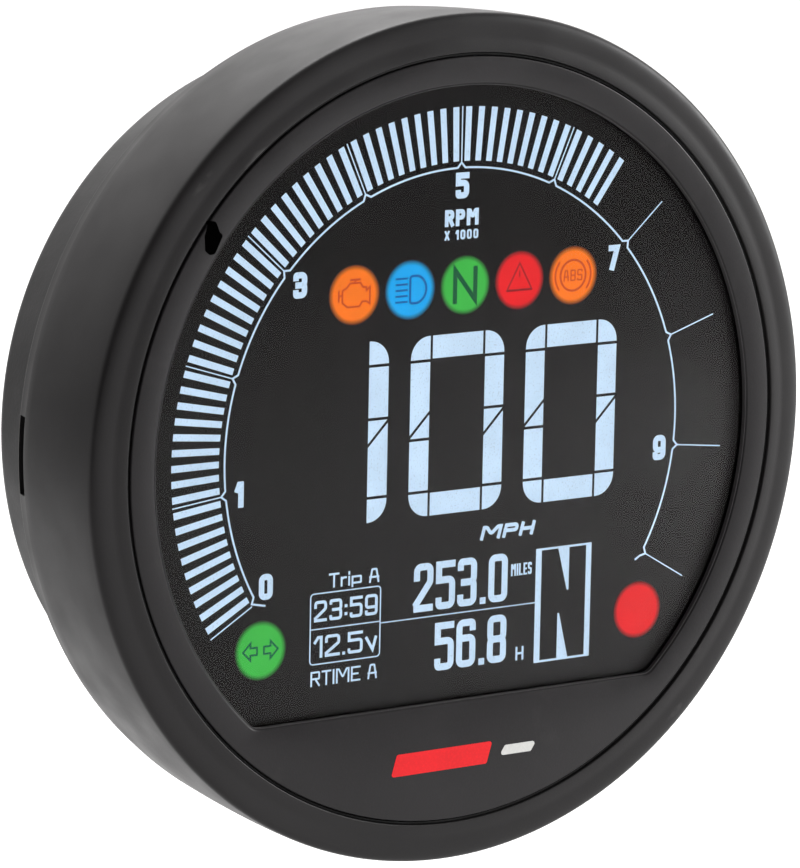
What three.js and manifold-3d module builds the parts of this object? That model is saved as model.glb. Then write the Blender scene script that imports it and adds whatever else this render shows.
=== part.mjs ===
// Round digital instrument cluster for a motorcycle, as an assembly of its real pieces.
// Millimetres, +Z up. The dial faces -Y. The origin is the centre of the flat mounting pad on the back,
// and every "depth" below is counted from the bezel's front face towards the back, along +Y.

import * as THREE from "three";
import { mergeVertices } from "three/addons/utils/BufferGeometryUtils.js";
import Module from "manifold-3d";

const wasm = await Module();
wasm.setup();

// ---- driving dimensions ----

const BEZEL_R = 57; // 114 mm across, the 4.5 inch class
const SEAM_R = 51.8; // where the bezel's lip meets the gasket
const BEZEL_EDGE_R = 2.2; // rounding of the bezel's front edge
const SKIRT_BACK_R = 56; // the skirt narrows a little towards the back
const SKIRT_DEPTH = 21.3;
const SKIRT_WALL = 2.1;
const LIP_DEPTH = 2.6;
const LIP_CHAMFER = 0.4;
const SKIRT_CHAMFER = 1.1; // at the rear edge
const PRY_SLOT_LENGTH = 10.4;
const PRY_SLOT_FROM_REAR = [2.1, 0.65]; // where the slot starts and ends, ahead of the rear edge
const PRY_SLOT_REACH = 1.6; // into the skirt's wall

const PLATE_R = 51.3;
const PLATE_FRONT = 0.1;
const PLATE_BACK = 0.9;
const WINDOW_R = 47.6;
const WINDOW_CHORD = -35.2; // the flat lower edge of the window
const SENSOR_WINDOW_STEP = 0.15; // how far it lies below the plate's face
const SENSOR_ANGLE = THREE.MathUtils.degToRad(142);
const SENSOR_R = 48.9;
const SENSOR_SIZE = [1.8, 3.1]; // radial, then along the rim

const LENS_FRONT = 0.95;
const LENS_BACK = 2.15;
const GASKET_FOOT_R = 49;
const GASKET_FRONT = 0.35;
const GASKET_BACK = 2.85;

const GLASS_R = 48.4;
const GLASS_STEP = 0.95; // one glass sheet and its film
const LEDGE_CHORD = -41.5; // the front glass reaches lower, for its contacts
const GLASS_CHORD = -38;
const FRAME_R = 50.3;
const FRAME_CLEARANCE = 0.4; // round the glass
const SHELF_WIDTH = 2;
const FRAME_BACK = 8;
const SHELF_FRONT = 4.2;
const SHELF_BACK = 5;

const DIFFUSER_FRONT = 5.1;
const DIFFUSER_BACK = 5.6;
const REFLECTOR_FRONT = 5.7;
const REFLECTOR_FLOOR = 10.2;
const REFLECTOR_BACK = 11.6;
const REFLECTOR_CHORD = -38.3;
const REFLECTOR_WALL = 1.8;
const REFLECTOR_POST_FRONT = 6.2;
const LAMP_TUBE_WALL = 0.9;
const LED_HOLE_R = 2.4;
const CONTACT_STRIP = [40, 2.4];
const BOARD_FRONT = 11.8;
const BOARD_BACK = 13.4;
const BOARD_R = 49.6;
const LED_SIZE = [3, 3, 1.1]; // width, height, depth
const SENSOR_CHIP = { width: 1, height: 2, depth: 0.8, radius: 49.05 };
const CONTROLLER = { width: 12, height: 12, depth: 1.4, x: -12, z: -8 };
const REGULATOR = { width: 10, height: 9, depth: 4.6, x: -25, z: -24 };
const CAPACITOR = { radius: 5, depth: 12, x: 26, z: -8 };
const SWITCH_WIDTH = 6;
const SWITCH_BACK = 16.8;
const SWITCH_WELL_R = 1.9;
const SWITCH_FLOOR = 0.4;
const PLUNGER = { radius: 1.6, front: 14.9, back: 17.9 };

const CASE_R = 49.8;
const CASE_WALL = 2.2;
const CASE_CORNER_R = 4;
const CASE_BACK = 37.4;
const FLANGE_R = 53;
const FLANGE_FRONT = 4.6;
const FLANGE_BACK = 20.4;
const FLANGE_BORE_R = 50.7;
const CASE_SEAL = { radius: 52.6, depth: 3.6, thickness: 0.85 };
const CASE_POST_R = 4.2;
const CASE_OPENING = [24, 9]; // behind the connector

const PAD_BACK = 40; // depth of the mounting face
const PAD_SIZE = [46, 26];
const PAD_CORNER_R = 5;
const INSERT_SPACING = 30;
const INSERT_R = 3.5;
const INSERT_BORE_R = 2.1; // core of an M5 thread
const INSERT_LENGTH = 10;
const INSERT_POST_R = 5.6;
const INSERT_POST_FRONT = 28.2;

const CASE_SCREW_CIRCLE_R = 41;
const BOARD_SCREW_CIRCLE_R = 43;
// Each screw: its head and shank, then the post, pilot bore and clearance bore that take it.
const CASE_SCREW = {
  headR: 2.9,
  headHeight: 2.2,
  shankR: 1.45,
  length: 27,
  seat: 34.2,
  seatR: 3.4,
  postR: 3.4,
  pilotR: 1.6,
  pilotFront: 6.9,
  clearR: 1.7,
  boardHoleR: 1.9,
};
const BOARD_SCREW = {
  headR: 2.4,
  headHeight: 1.6,
  shankR: 1.1,
  length: 6,
  postR: 2.8,
  pilotR: 1.25,
  pilotFront: 7.3,
  boardHoleR: 1.5,
};
const SOCKET_SCREW = {
  headR: 2.2,
  headHeight: 1.5,
  shankR: 1.05,
  length: 6.4,
  postR: 3,
  postFront: 31.5,
  pilotR: 1.25,
  pilotFront: 32.5,
  clearR: 1.35,
  x: 19.5,
};

const LAMP_R = 3.7;
const LAMP_CLEARANCE = 0.2;
const LAMP_BACK = 7.25;
const LAMP_ROW_Z = 21.15;
const LAMP_ROW_X = 0.75;
const LAMP_PITCH = 8.8;
const SIDE_LAMP_X = 30.6;
const SIDE_LAMP_Z = -25.5;

const BUTTON_X = 15;
const BUTTON_Z = 24;
const BUTTON_R = 5;
const BUTTON_FRONT = 18;
const BUTTON_BACK = 39.2;
const BUTTON_STEM_R = 1.5;
const BUTTON_FLANGE = { width: 1.2, depth: 0.8, gap: 0.3 };
const BUTTON_EDGE = 0.5;
const BUTTON_DISH = 0.3;
const BUTTON_SEAL = { inner: 0.3, outer: 2.4, back: 38.2 };

const SOCKET_Z = -26;
const SOCKET_BACK = 49;
const SOCKET_FLOOR = 39.6;
const SOCKET_FLANGE = [46, 14, 3]; // width, height, corner radius
const SOCKET_SHELL = [30, 14, 2.5];
const SOCKET_BORE = [26.6, 10.6, 1.2];
const SOCKET_MOUTH = [22, 7];
const SOCKET_SEAL = [32, 13.6, 2.5];
const SOCKET_SEAL_BORE = [25, 9.8];
const SOCKET_SEAL_DEPTH = 0.6;
const CARRIER = { width: 21.6, height: 6.6, front: 33.5, back: 39 };
const PIN = { width: 0.8, back: 43.5, pitch: 3.4, columns: 6, fromMiddle: 1.8 };

const VENT = { x: 32, z: 8, capR: 4.6, stemR: 2.1, boreR: 2.3, dishR: 2, dish: 38.2, back: 38.8 };

const GAP = 0.05; // between faces that rest on each other
const BEHIND = 60; // a depth behind every piece, where cutters end
const BIG_ROUND = 64; // sides of the large outer circles
const INNER_ROUND = 40; // sides of the large circles inside the case
const SMALL_ROUND = 14; // sides of bores, screws and lamps
const BUTTON_ROUND = 24;

// ---- looks ----

const look = (color, roughness, metalness = 0) =>
  new THREE.MeshStandardMaterial({ color, roughness, metalness });
const LOOKS = {
  anodised: look(0x2e2b2d, 0.42, 0.6),
  blackPlastic: look(0x1b1a1b, 0.55),
  plate: look(0x2a272a, 0.5),
  rubber: look(0x0c0c0c, 0.8),
  lens: look(0x9aa0a4, 0.1),
  glass: look(0x2c2829, 0.25),
  white: look(0xe8e6e0, 0.6),
  board: look(0x174a2a, 0.5),
  chip: look(0x151515, 0.5),
  tin: look(0xb8b8bc, 0.35, 1),
  steel: look(0x8c8c90, 0.35, 1),
  brass: look(0xb58a3c, 0.35, 1),
  silicone: look(0x8d8f92, 0.8),
  orange: look(0xf77f1e, 0.4),
  blue: look(0x00aeef, 0.4),
  green: look(0x3cb54a, 0.4),
  red: look(0xed1c24, 0.4),
};

// ---- tools ----

function solid(geometry) {
  const bare = geometry.clone();
  bare.deleteAttribute("normal");
  bare.deleteAttribute("uv");
  const merged = mergeVertices(bare, 1e-4);
  return new wasm.Manifold(
    new wasm.Mesh({
      numProp: 3,
      vertProperties: merged.attributes.position.array,
      triVerts: new Uint32Array(merged.index.array),
    }),
  );
}

// A turned piece from its [radius, depth] outline, round the axis through (x, z).
function turned(outline, segments = BIG_ROUND, x = 0, z = 0) {
  const points = outline.map(([r, depth]) => new THREE.Vector2(r, depth));
  if (THREE.ShapeUtils.area(points) < 0) points.reverse();
  points.push(points[0].clone());
  return solid(new THREE.LatheGeometry(points, segments).translate(x, 0, z));
}

// Points of a rounded corner in a turned outline, from one angle to another in degrees.
function corner(r, depth, radius, from, to, steps = 4) {
  return Array.from({ length: steps + 1 }, (_, i) => {
    const a = THREE.MathUtils.degToRad(from + ((to - from) * i) / steps);
    return [r + radius * Math.cos(a), depth + radius * Math.sin(a)];
  });
}

function disc(radius, front, back, x = 0, z = 0, segments = SMALL_ROUND) {
  const cylinder = new THREE.CylinderGeometry(radius, radius, back - front, segments);
  return solid(cylinder.translate(x, (front + back) / 2, z));
}

// A round cutter from a depth to behind every piece.
function bore(radius, front, { x, z }, segments = SMALL_ROUND) {
  return disc(radius, front, BEHIND, x, z, segments);
}

function block(width, height, front, back, x = 0, z = 0) {
  const box = new THREE.BoxGeometry(width, back - front, height);
  return solid(box.translate(x, (front + back) / 2, z));
}

// An outline drawn in X and Z, extruded through a range of depths.
function slab(shape, front, back, segments = INNER_ROUND / 2) {
  const options = { depth: back - front, bevelEnabled: false, curveSegments: segments };
  const geometry = new THREE.ExtrudeGeometry(shape, options);
  return solid(geometry.rotateX(Math.PI / 2).translate(0, back, 0));
}

// A circle whose bottom is cut off flat at z = chord.
function cutCircle(radius, chord) {
  const start = Math.asin(chord / radius);
  const shape = new THREE.Shape();
  shape.absarc(0, 0, radius, start, Math.PI - start, false);
  shape.closePath();
  return shape;
}

function roundedRectangle(width, height, radius, x = 0, z = 0) {
  const shape = new THREE.Shape();
  const [a, b] = [width / 2 - radius, height / 2 - radius];
  shape.absarc(x + a, z + b, radius, 0, Math.PI / 2, false);
  shape.absarc(x - a, z + b, radius, Math.PI / 2, Math.PI, false);
  shape.absarc(x - a, z - b, radius, Math.PI, 1.5 * Math.PI, false);
  shape.absarc(x + a, z - b, radius, 1.5 * Math.PI, 2 * Math.PI, false);
  shape.closePath();
  return shape;
}

const join = (...bodies) => bodies.reduce((a, b) => a.add(b));
const cut = (body, ...tools) => tools.reduce((a, b) => a.subtract(b), body);

// A small box whose width runs radially out from the axis, at a radius and angle.
function radialBlock(width, height, front, back, radius, angle) {
  const box = new THREE.BoxGeometry(width, back - front, height);
  box.translate(radius, (front + back) / 2, 0);
  return solid(box.rotateY(-angle));
}

const gauge = new THREE.Group();
gauge.name = "instrument_cluster";
gauge.position.y = -PAD_BACK;

function piece(name, body, material) {
  const { vertProperties, triVerts } = body.getMesh();
  const geometry = new THREE.BufferGeometry();
  geometry.setAttribute("position", new THREE.BufferAttribute(vertProperties, 3));
  geometry.setIndex(new THREE.BufferAttribute(triVerts, 1));
  const flat = geometry.toNonIndexed();
  flat.computeVertexNormals();
  const mesh = new THREE.Mesh(flat, material);
  mesh.name = name;
  gauge.add(mesh);
}

// ---- places of what repeats ----

const lamps = ["engine", "high_beam", "neutral", "warning", "brake"].map((name, i) => ({
  name,
  x: LAMP_ROW_X + (i - 2) * LAMP_PITCH,
  z: LAMP_ROW_Z,
}));
lamps.push({ name: "turn_signal", x: -SIDE_LAMP_X, z: SIDE_LAMP_Z });
lamps.push({ name: "alarm", x: SIDE_LAMP_X, z: SIDE_LAMP_Z });
const lampColours = {
  engine: LOOKS.orange,
  high_beam: LOOKS.blue,
  neutral: LOOKS.green,
  warning: LOOKS.red,
  brake: LOOKS.orange,
  turn_signal: LOOKS.green,
  alarm: LOOKS.red,
};
const backlights = [
  [-24, 2],
  [24, 2],
  [-12, -20],
  [12, -20],
].map(([x, z]) => ({ x, z }));
const around = (radius, degrees) => ({
  x: radius * Math.cos(THREE.MathUtils.degToRad(degrees)),
  z: radius * Math.sin(THREE.MathUtils.degToRad(degrees)),
});
const caseScrews = [60, 120, 205, 335].map((degrees) => around(CASE_SCREW_CIRCLE_R, degrees));
const boardScrews = [90, 175, 5].map((degrees) => around(BOARD_SCREW_CIRCLE_R, degrees));
const sides = [
  { side: "left", sign: -1 },
  { side: "right", sign: 1 },
];

// ---- front: bezel, gasket, face plate, lens ----

function bezelRing() {
  const edge = corner(BEZEL_R - BEZEL_EDGE_R, BEZEL_EDGE_R, BEZEL_EDGE_R, -90, 0);
  const ring = turned([
    [SEAM_R, LIP_CHAMFER],
    [SEAM_R + LIP_CHAMFER, 0],
    ...edge,
    [SKIRT_BACK_R, SKIRT_DEPTH - SKIRT_CHAMFER],
    [SKIRT_BACK_R - SKIRT_CHAMFER / 2, SKIRT_DEPTH],
    [SKIRT_BACK_R - SKIRT_WALL, SKIRT_DEPTH],
    [BEZEL_R - SKIRT_WALL, LIP_DEPTH],
    [SEAM_R, LIP_DEPTH],
  ]);
  const [front, back] = PRY_SLOT_FROM_REAR.map((ahead) => SKIRT_DEPTH - ahead);
  const middle = SKIRT_BACK_R + PRY_SLOT_REACH;
  const width = 4 * PRY_SLOT_REACH;
  const slots = sides.map(({ sign }) => block(width, PRY_SLOT_LENGTH, front, back, sign * middle));
  return cut(ring, ...slots);
}

function lensGasket() {
  const outer = SEAM_R - GAP;
  const inner = PLATE_R + 2 * GAP;
  return turned([
    [inner, GASKET_FRONT],
    [outer, GASKET_FRONT],
    [outer, GASKET_BACK],
    [GASKET_FOOT_R, GASKET_BACK],
    [GASKET_FOOT_R, LENS_BACK + GAP],
    [inner, LENS_BACK + GAP],
  ]);
}

function sensorBlock(margin, front, back) {
  const [radial, along] = SENSOR_SIZE;
  return radialBlock(radial - margin, along - margin, front, back, SENSOR_R, SENSOR_ANGLE);
}

function facePlate() {
  return cut(
    disc(PLATE_R, PLATE_FRONT, PLATE_BACK, 0, 0, BIG_ROUND),
    slab(cutCircle(WINDOW_R, WINDOW_CHORD), PLATE_FRONT - 1, PLATE_BACK + 1, BIG_ROUND / 2),
    sensorBlock(0, PLATE_FRONT - 1, PLATE_BACK + 1),
  );
}

piece("bezel_ring", bezelRing(), LOOKS.anodised);
piece("lens_gasket", lensGasket(), LOOKS.rubber);
piece("face_plate", facePlate(), LOOKS.plate);
piece("sensor_window", sensorBlock(4 * GAP, PLATE_FRONT + SENSOR_WINDOW_STEP, PLATE_BACK), LOOKS.chip);
piece("lens", disc(PLATE_R, LENS_FRONT, LENS_BACK, 0, 0, BIG_ROUND), LOOKS.lens);

// ---- display: two glass sheets, their frame, diffuser and reflector ----

const onBoard = BOARD_BACK + GAP;
const underBoard = BOARD_FRONT - GAP;

const lampBoreR = LAMP_R + LAMP_CLEARANCE;
const frontGlassFront = LENS_BACK + 2 * GAP;
const rearGlassFront = frontGlassFront + GLASS_STEP;

function displayFrame() {
  const boreR = GLASS_R + FRAME_CLEARANCE;
  const shelf = GLASS_R - SHELF_WIDTH;
  const front = GASKET_BACK + 2 * GAP;
  const outline = [
    [FRAME_R, front],
    [FRAME_R, FRAME_BACK],
    [boreR, FRAME_BACK],
    [boreR, SHELF_BACK],
    [shelf, SHELF_BACK],
    [shelf, SHELF_FRONT],
    [boreR, SHELF_FRONT],
    [boreR, front],
  ];
  const ring = turned(outline, INNER_ROUND);
  return cut(ring, sensorBlock(0, front - 1, FRAME_BACK + 1));
}

function diffuser() {
  return cut(
    slab(cutCircle(GLASS_R, REFLECTOR_CHORD), DIFFUSER_FRONT, DIFFUSER_BACK),
    ...lamps.map(({ x, z }) => disc(lampBoreR, 0, REFLECTOR_FRONT, x, z)),
  );
}

function reflectorHousing() {
  const inside = cutCircle(GLASS_R - REFLECTOR_WALL, REFLECTOR_CHORD + REFLECTOR_WALL);
  const tray = cut(
    slab(cutCircle(GLASS_R, REFLECTOR_CHORD), REFLECTOR_FRONT, REFLECTOR_BACK),
    slab(inside, 0, REFLECTOR_FLOOR),
  );
  const tubeR = LAMP_R + LAMP_TUBE_WALL;
  const post = ({ postR }, { x, z }) => disc(postR, REFLECTOR_POST_FRONT, REFLECTOR_BACK, x, z);
  const posts = [
    ...lamps.map(({ x, z }) => disc(tubeR, REFLECTOR_FRONT, REFLECTOR_BACK, x, z)),
    ...caseScrews.map((place) => post(CASE_SCREW, place)),
    ...boardScrews.map((place) => post(BOARD_SCREW, place)),
  ];
  const holes = [
    ...lamps.map(({ x, z }) => disc(lampBoreR, 0, REFLECTOR_FLOOR, x, z)),
    ...[...lamps, ...backlights].map((place) => bore(LED_HOLE_R, 0, place)),
    ...caseScrews.map((place) => bore(CASE_SCREW.pilotR, CASE_SCREW.pilotFront, place)),
    ...boardScrews.map((place) => bore(BOARD_SCREW.pilotR, BOARD_SCREW.pilotFront, place)),
  ];
  return cut(join(tray, ...posts), ...holes);
}

piece(
  "lcd_front_glass",
  slab(cutCircle(GLASS_R, LEDGE_CHORD), frontGlassFront, rearGlassFront - GAP),
  LOOKS.glass,
);
piece(
  "lcd_rear_glass",
  slab(cutCircle(GLASS_R, GLASS_CHORD), rearGlassFront, rearGlassFront + GLASS_STEP - GAP),
  LOOKS.glass,
);
piece("display_frame", displayFrame(), LOOKS.blackPlastic);
piece("diffuser", diffuser(), LOOKS.white);
piece("reflector_housing", reflectorHousing(), LOOKS.white);
piece(
  "contact_strip",
  block(...CONTACT_STRIP, rearGlassFront + GAP, underBoard, 0, (LEDGE_CHORD + REFLECTOR_CHORD) / 2),
  LOOKS.silicone,
);
for (const { name, x, z } of lamps) {
  piece(`lamp_lens_${name}`, disc(LAMP_R, SHELF_FRONT + GAP, LAMP_BACK, x, z), lampColours[name]);
}

// ---- electronics ----

function mainBoard() {
  return cut(
    disc(BOARD_R, BOARD_FRONT, BOARD_BACK, 0, 0, INNER_ROUND),
    ...caseScrews.map((place) => bore(CASE_SCREW.boardHoleR, 0, place)),
    ...boardScrews.map((place) => bore(BOARD_SCREW.boardHoleR, 0, place)),
  );
}

function chip(name, { width, height, depth, x, z }) {
  piece(name, block(width, height, onBoard, onBoard + depth, x, z), LOOKS.chip);
}

function led(name, { x, z }) {
  const [width, height, depth] = LED_SIZE;
  piece(name, block(width, height, underBoard - depth, underBoard, x, z), LOOKS.white);
}

// A socket head screw: the head stands behind seat, the shank reaches forward from it.
function screw({ headR, headHeight, shankR, length }, seat, { x, z }) {
  const head = disc(headR, seat, seat + headHeight, x, z);
  const shank = disc(shankR, seat - length, seat + headHeight / 4, x, z);
  const hexagon = disc(headR / 2, seat + headHeight * 0.45, BEHIND, x, z, 6);
  return cut(join(head, shank), hexagon);
}

piece("main_board", mainBoard(), LOOKS.board);
lamps.forEach((place) => led(`lamp_led_${place.name}`, place));
backlights.forEach((place, i) => led(`backlight_led_${i + 1}`, place));
{
  const { width, height, depth, radius } = SENSOR_CHIP;
  const body = radialBlock(width, height, underBoard - depth, underBoard, radius, SENSOR_ANGLE);
  piece("light_sensor", body, LOOKS.chip);
}
chip("microcontroller", CONTROLLER);
chip("voltage_regulator", REGULATOR);
piece(
  "power_capacitor",
  disc(CAPACITOR.radius, onBoard, onBoard + CAPACITOR.depth, CAPACITOR.x, CAPACITOR.z),
  LOOKS.chip,
);
for (const { side, sign } of sides) {
  const place = { x: sign * BUTTON_X, z: BUTTON_Z };
  const body = block(SWITCH_WIDTH, SWITCH_WIDTH, onBoard, SWITCH_BACK, place.x, place.z);
  const well = bore(SWITCH_WELL_R, onBoard + SWITCH_FLOOR, place);
  piece(`tact_switch_${side}`, cut(body, well), LOOKS.chip);
  const plunger = disc(PLUNGER.radius, PLUNGER.front, PLUNGER.back, place.x, place.z);
  piece(`switch_plunger_${side}`, plunger, LOOKS.silicone);
}
boardScrews.forEach((place, i) => {
  piece(`board_screw_${i + 1}`, screw(BOARD_SCREW, onBoard, place), LOOKS.steel);
});

// ---- rear case, seals, screws and mounting inserts ----

const wallFront = CASE_BACK - CASE_WALL;
const bossBack = wallFront + 1; // posts reach a little into the case's back wall
const insertPlaces = sides.map(({ sign }) => ({ x: (sign * INSERT_SPACING) / 2, z: 0 }));
const socketScrews = sides.map(({ sign }) => ({ x: sign * SOCKET_SCREW.x, z: SOCKET_Z }));
const buttonPlaces = sides.map(({ sign }) => ({ x: sign * BUTTON_X, z: BUTTON_Z }));

function rearCase() {
  const shell = turned([
    [FLANGE_BORE_R, FLANGE_FRONT],
    [FLANGE_R, FLANGE_FRONT],
    [FLANGE_R, FLANGE_BACK],
    [CASE_R, FLANGE_BACK],
    ...corner(CASE_R - CASE_CORNER_R, CASE_BACK - CASE_CORNER_R, CASE_CORNER_R, 0, 90),
    [0, CASE_BACK],
    [0, wallFront],
    [CASE_R - CASE_CORNER_R - CASE_WALL / 2, wallFront],
    [CASE_R - CASE_WALL, wallFront - CASE_CORNER_R + 1],
    [CASE_R - CASE_WALL, FLANGE_BACK - CASE_WALL],
    [FLANGE_BORE_R, FLANGE_BACK - CASE_WALL],
  ]);
  const pad = slab(roundedRectangle(...PAD_SIZE, PAD_CORNER_R), bossBack, PAD_BACK, 6);
  const post = (radius, front, { x, z }) => disc(radius, front, bossBack, x, z);
  const posts = [
    ...caseScrews.map((place) => post(CASE_POST_R, BOARD_BACK + 6 * GAP, place)),
    ...insertPlaces.map((place) => post(INSERT_POST_R, INSERT_POST_FRONT, place)),
    ...socketScrews.map((place) => post(SOCKET_SCREW.postR, SOCKET_SCREW.postFront, place)),
  ];
  const insertFloor = PAD_BACK - INSERT_LENGTH - 2 * GAP;
  const buttonHoleR = BUTTON_R + BUTTON_SEAL.inner;
  const cutFront = wallFront - 1;
  const holes = [
    ...caseScrews.map((place) => bore(CASE_SCREW.clearR, 0, place)),
    ...caseScrews.map((place) => bore(CASE_SCREW.seatR, CASE_SCREW.seat, place)),
    ...insertPlaces.map((place) => bore(INSERT_R + 2 * GAP, insertFloor, place)),
    ...socketScrews.map((place) => bore(SOCKET_SCREW.pilotR, SOCKET_SCREW.pilotFront, place)),
    ...buttonPlaces.map((place) => bore(buttonHoleR, cutFront, place, BUTTON_ROUND)),
    bore(VENT.boreR, cutFront, VENT),
    block(...CASE_OPENING, cutFront, BEHIND, 0, SOCKET_Z),
  ];
  return cut(join(shell, pad, ...posts), ...holes);
}

function caseSeal() {
  const { radius, depth, thickness } = CASE_SEAL;
  return turned(corner(radius, depth, thickness, 0, 300, 5), INNER_ROUND);
}

function ventPlug() {
  const { capR, stemR, dishR, dish, back, x, z } = VENT;
  const bevel = 0.5;
  const front = wallFront + 0.2;
  const outline = [
    [0, dish],
    [dishR, dish],
    [dishR + 0.2, back],
    [capR - bevel, back],
    [capR, back - bevel],
    [capR, CASE_BACK + GAP],
    [stemR, CASE_BACK + GAP],
    [stemR, front],
    [0, front],
  ];
  return turned(outline, BUTTON_ROUND, x, z);
}

piece("rear_case", rearCase(), LOOKS.blackPlastic);
piece("case_seal", caseSeal(), LOOKS.rubber);
caseScrews.forEach((place, i) => {
  piece(`case_screw_${i + 1}`, screw(CASE_SCREW, CASE_SCREW.seat + GAP, place), LOOKS.steel);
});
insertPlaces.forEach((place, i) => {
  const sleeve = disc(INSERT_R, PAD_BACK - INSERT_LENGTH, PAD_BACK, place.x);
  piece(`mount_insert_${sides[i].side}`, cut(sleeve, bore(INSERT_BORE_R, 0, place)), LOOKS.brass);
});
piece("vent_plug", ventPlug(), LOOKS.blackPlastic);

// ---- connector: socket, its seal, the contacts and two screws ----

const sealBack = CASE_BACK + SOCKET_SEAL_DEPTH;
const socketOutline = ([width, height, radius]) => roundedRectangle(width, height, radius, 0, SOCKET_Z);

function connectorSocket() {
  const shell = join(
    slab(socketOutline(SOCKET_FLANGE), sealBack + GAP, SOCKET_FLOOR, 4),
    slab(socketOutline(SOCKET_SHELL), sealBack + 10 * GAP, SOCKET_BACK, 4),
  );
  return cut(
    shell,
    slab(socketOutline(SOCKET_BORE), SOCKET_FLOOR, SOCKET_BACK + 1, 4),
    block(...SOCKET_MOUTH, 0, BEHIND, 0, SOCKET_Z),
    ...socketScrews.map((place) => bore(SOCKET_SCREW.clearR, 0, place)),
  );
}

function contactBlock() {
  const pins = [];
  for (let column = 0; column < PIN.columns; column += 1) {
    for (const { sign } of sides) {
      const x = (column - (PIN.columns - 1) / 2) * PIN.pitch;
      const z = SOCKET_Z + sign * PIN.fromMiddle;
      pins.push(block(PIN.width, PIN.width, onBoard, PIN.back, x, z));
    }
  }
  const { width, height, front, back } = CARRIER;
  return join(block(width, height, front, back, 0, SOCKET_Z), ...pins);
}

const sealRing = cut(
  slab(socketOutline(SOCKET_SEAL), CASE_BACK + GAP, sealBack, 4),
  block(...SOCKET_SEAL_BORE, 0, BEHIND, 0, SOCKET_Z),
);

piece("connector_socket", connectorSocket(), LOOKS.blackPlastic);
piece("connector_seal", sealRing, LOOKS.rubber);
piece("contact_block", contactBlock(), LOOKS.tin);
socketScrews.forEach((place, i) => {
  const body = screw(SOCKET_SCREW, SOCKET_FLOOR + GAP, place);
  piece(`connector_screw_${sides[i].side}`, body, LOOKS.steel);
});

// ---- buttons: each slides forward 0.8 mm into its switch ----

function button({ x, z }) {
  const shoulder = wallFront - BUTTON_FLANGE.gap;
  const flangeR = BUTTON_R + BUTTON_FLANGE.width;
  const outline = [
    [0, BUTTON_FRONT],
    [BUTTON_STEM_R, BUTTON_FRONT],
    [BUTTON_STEM_R, shoulder - BUTTON_FLANGE.depth],
    [flangeR, shoulder - BUTTON_FLANGE.depth],
    [flangeR, shoulder],
    [BUTTON_R, shoulder],
    [BUTTON_R, BUTTON_BACK - BUTTON_EDGE],
    [BUTTON_R - BUTTON_EDGE, BUTTON_BACK],
    [0, BUTTON_BACK - BUTTON_DISH],
  ];
  return turned(outline, BUTTON_ROUND, x, z);
}

function buttonSeal({ x, z }) {
  const { inner, outer, back } = BUTTON_SEAL;
  const taper = 0.3;
  const outline = [
    [BUTTON_R + inner, CASE_BACK + GAP],
    [BUTTON_R + outer, CASE_BACK + GAP],
    [BUTTON_R + outer - taper, back],
    [BUTTON_R + inner + taper, back],
  ];
  return turned(outline, BUTTON_ROUND, x, z);
}

buttonPlaces.forEach((place, i) => {
  piece(`button_${sides[i].side}`, button(place), LOOKS.rubber);
  piece(`button_seal_${sides[i].side}`, buttonSeal(place), LOOKS.rubber);
});

export default gauge;
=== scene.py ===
"""Round digital instrument cluster: its looks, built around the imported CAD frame.

Sizes are millimetres. Places are given as (x, depth, z): x to the right, z up, and depth counted from the
bezel's front face towards the back. at() turns them into metres in the shared frame.
"""

import math

import bmesh
import bpy
from mathutils import Matrix, Vector


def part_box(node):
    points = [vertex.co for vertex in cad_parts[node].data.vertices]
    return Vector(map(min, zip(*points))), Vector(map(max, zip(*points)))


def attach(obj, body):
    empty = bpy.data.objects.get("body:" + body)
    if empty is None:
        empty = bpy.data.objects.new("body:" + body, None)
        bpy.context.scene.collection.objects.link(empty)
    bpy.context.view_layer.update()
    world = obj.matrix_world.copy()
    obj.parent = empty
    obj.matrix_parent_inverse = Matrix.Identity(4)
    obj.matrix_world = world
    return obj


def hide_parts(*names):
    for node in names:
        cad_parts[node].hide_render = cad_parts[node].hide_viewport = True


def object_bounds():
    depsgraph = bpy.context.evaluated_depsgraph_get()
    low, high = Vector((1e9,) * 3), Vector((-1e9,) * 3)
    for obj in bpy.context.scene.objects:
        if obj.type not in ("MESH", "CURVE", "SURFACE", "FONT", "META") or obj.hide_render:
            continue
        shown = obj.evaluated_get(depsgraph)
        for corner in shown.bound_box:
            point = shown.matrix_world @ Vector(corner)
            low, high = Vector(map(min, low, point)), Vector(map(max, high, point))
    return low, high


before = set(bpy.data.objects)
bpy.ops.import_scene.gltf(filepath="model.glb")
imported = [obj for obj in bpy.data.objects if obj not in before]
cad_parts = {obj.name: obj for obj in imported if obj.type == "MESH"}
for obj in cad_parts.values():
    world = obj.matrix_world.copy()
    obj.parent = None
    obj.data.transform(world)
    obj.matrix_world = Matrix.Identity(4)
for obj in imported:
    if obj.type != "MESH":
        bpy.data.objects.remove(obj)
CAD_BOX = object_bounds()

MM = 0.001
FRONT_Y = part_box("bezel_ring")[0].y
HOUSING = "housing"
SCENE = bpy.context.scene
cos, sin, radians = math.cos, math.sin, math.radians


# ---- sizes taken from the frame ----


class Span:
    """A CAD node's box in millimetres: left, right, front, back, bottom, top and its middle."""

    def __init__(self, node):
        low, high = (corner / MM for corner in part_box(node))
        self.left, self.right = low.x, high.x
        self.front, self.back = low.y - FRONT_Y / MM, high.y - FRONT_Y / MM
        self.bottom, self.top = low.z, high.z
        self.x, self.z = (low.x + high.x) / 2, (low.z + high.z) / 2


BEZEL = Span("bezel_ring")
GASKET = Span("lens_gasket")
PLATE = Span("face_plate")
LENS = Span("lens")
GLASS = Span("lcd_front_glass")
REAR_GLASS = Span("lcd_rear_glass")
CASE = Span("rear_case")
SOCKET = Span("connector_socket")
SEAL = Span("connector_seal")
CONTACTS = Span("contact_block")
VENT = Span("vent_plug")

# ---- sizes the frame's boxes don't give ----

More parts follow.
